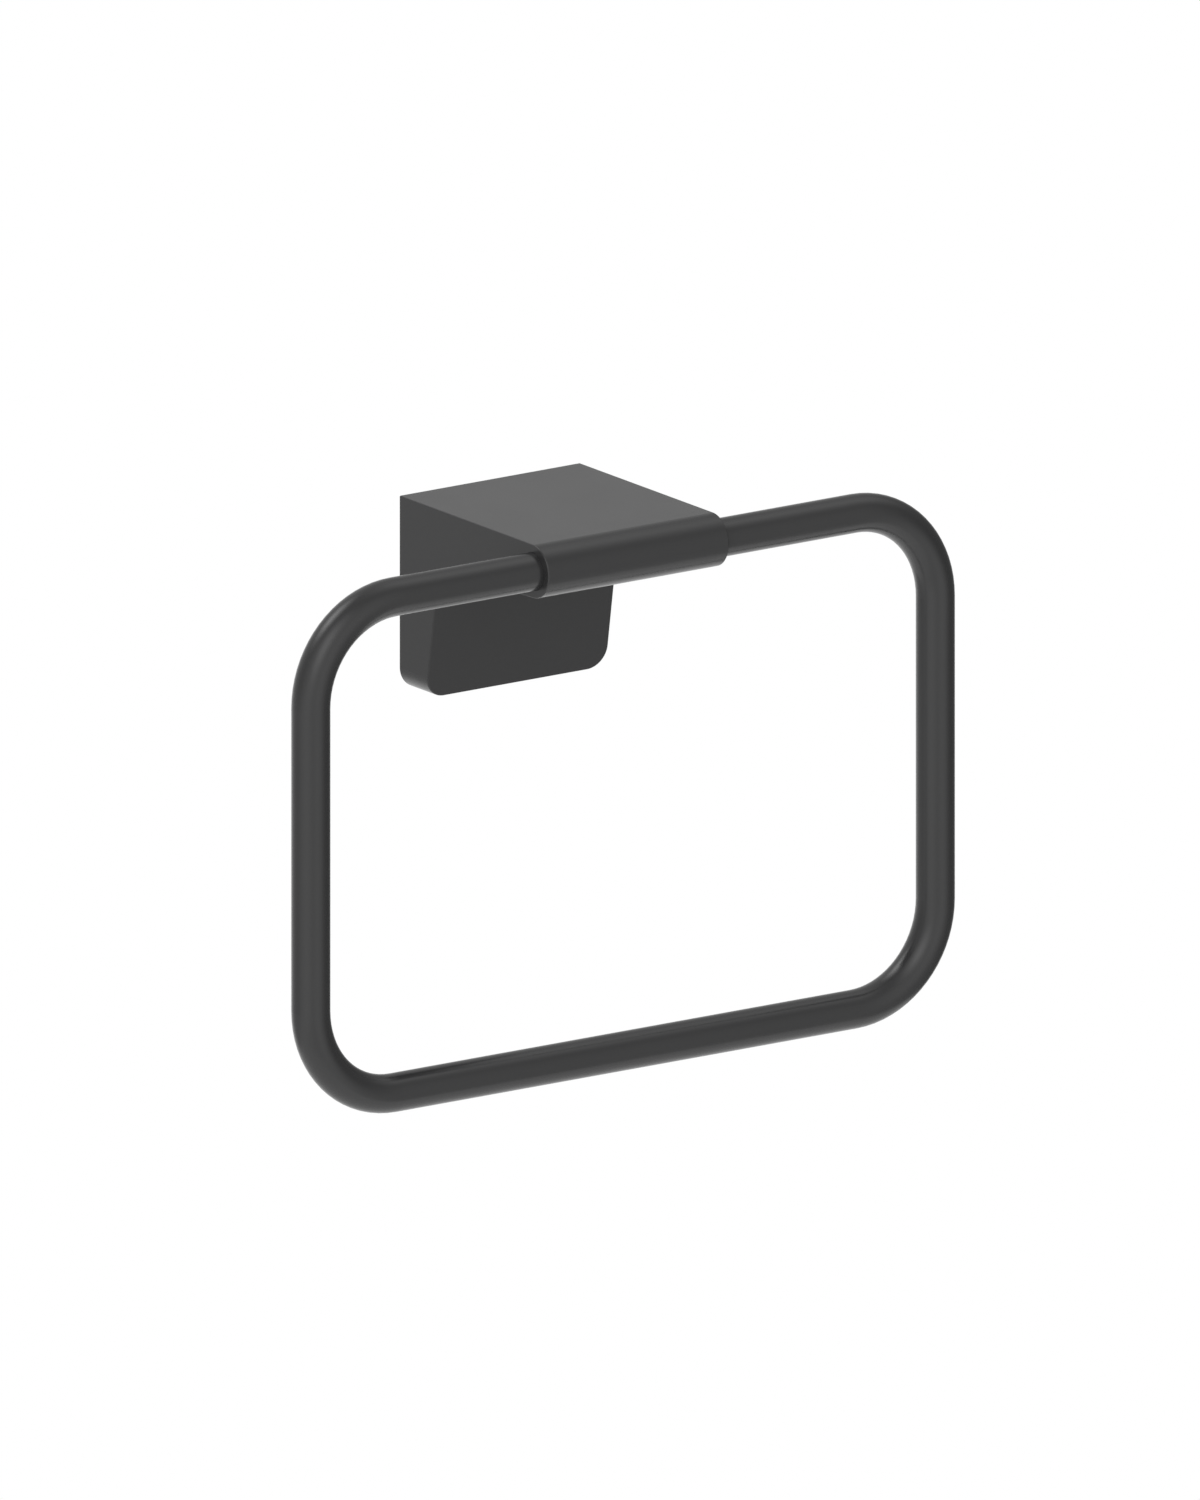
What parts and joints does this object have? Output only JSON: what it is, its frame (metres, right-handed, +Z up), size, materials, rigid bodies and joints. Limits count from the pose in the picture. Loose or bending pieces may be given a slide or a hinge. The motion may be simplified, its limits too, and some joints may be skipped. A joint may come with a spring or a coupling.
{
  "type": "towel ring",
  "caption": "Rounded rectangular towel ring of bent round bar, held by a one-piece wall holder whose flat-topped arm ends in a round sleeve that the ring's top bar runs through.",
  "frame": {"origin": "on the wall, midway between the two wall screw holes, at half the holder's height", "axes": "+Z up, +Y into the wall along the wall screws, +X along the wall and along the ring's top bar"},
  "size_m": [0.204, 0.066, 0.1426],
  "materials": {
    "black_coating": "matt black powder coat",
    "screw_steel": "blackened steel",
    "bracket_steel": "zinc-plated sheet steel"
  },
  "bodies": {
    "root": {"holder": "black_coating", "ring": "black_coating", "ring_screws": "screw_steel", "wall_bracket": "bracket_steel", "holder_screw": "screw_steel"}
  },
  "joints": []
}
